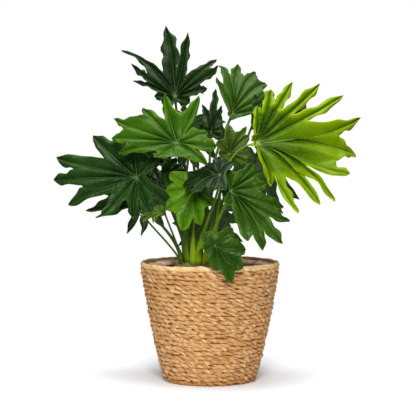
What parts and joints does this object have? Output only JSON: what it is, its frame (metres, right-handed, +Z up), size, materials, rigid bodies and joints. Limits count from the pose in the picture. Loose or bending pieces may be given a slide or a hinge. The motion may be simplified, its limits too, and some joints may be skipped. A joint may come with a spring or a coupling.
{
  "type": "potted philodendron in a woven basket",
  "caption": "Split-leaf philodendron growing from a pot of soil that stands in a round tapered basket of twisted seagrass rope",
  "frame": {"origin": "centre of the basket's flat underside, on the surface it stands on", "axes": "+Z up along the basket's axis and the plant's height, -Y towards the front view, +X to the right in that view"},
  "size_m": [0.5311, 0.3795, 0.6116],
  "materials": {
    "seagrass": "twisted dry grass rope, matt",
    "rim_grass": "wrapped dry grass, matt",
    "liner_film": "thin translucent film, satin",
    "pot_plastic": "moulded, satin",
    "potting_soil": "loose, matt",
    "crown_bark": "fibrous, matt",
    "stalk_green": "smooth, waxy",
    "leaf_dark": "glossy leaf, waxy",
    "leaf_mid": "glossy leaf, waxy",
    "leaf_olive": "satin leaf",
    "leaf_young": "glossy young leaf, waxy"
  },
  "bodies": {
    "root": {"basket_wall": "seagrass", "basket_base": "seagrass", "basket_rim": "rim_grass", "plastic_liner": "liner_film", "nursery_pot": "pot_plastic", "soil": "potting_soil", "root_crown": "crown_bark", "petiole_left_big": "stalk_green", "petiole_left_upper": "stalk_green", "petiole_crown_top": "stalk_green", "petiole_top_right": "stalk_green", "petiole_top_right_inner": "stalk_green", "petiole_right_big": "stalk_green", "petiole_right_lower": "stalk_green", "petiole_rim_front": "stalk_green", "petiole_centre_hanging": "stalk_green", "petiole_centre_upright": "stalk_green", "petiole_centre_right": "stalk_green", "petiole_centre_dark": "stalk_green", "petiole_left_small": "stalk_green", "petiole_left_back": "stalk_green", "petiole_left_under": "stalk_green", "petiole_right_back": "stalk_green", "petiole_centre_left": "stalk_green", "petiole_back_top": "stalk_green", "petiole_back_right": "stalk_green", "petiole_back_hanging": "stalk_green", "petiole_back_left": "stalk_green", "blade_left_big": "leaf_dark", "blade_left_upper": "leaf_mid", "blade_crown_top": "leaf_dark", "blade_top_right": "leaf_dark", "blade_top_right_inner": "leaf_dark", "blade_right_big": "leaf_young", "blade_right_lower": "leaf_dark", "blade_rim_front": "leaf_dark", "blade_centre_hanging": "leaf_mid", "blade_centre_upright": "leaf_dark", "blade_centre_right": "leaf_olive", "blade_centre_dark": "leaf_dark", "blade_left_small": "leaf_olive", "blade_left_back": "leaf_dark", "blade_left_under": "leaf_dark", "blade_right_back": "leaf_dark", "blade_centre_left": "leaf_dark", "blade_back_top": "leaf_mid", "blade_back_right": "leaf_dark", "blade_back_hanging": "leaf_dark", "blade_back_left": "leaf_dark"}
  },
  "joints": []
}
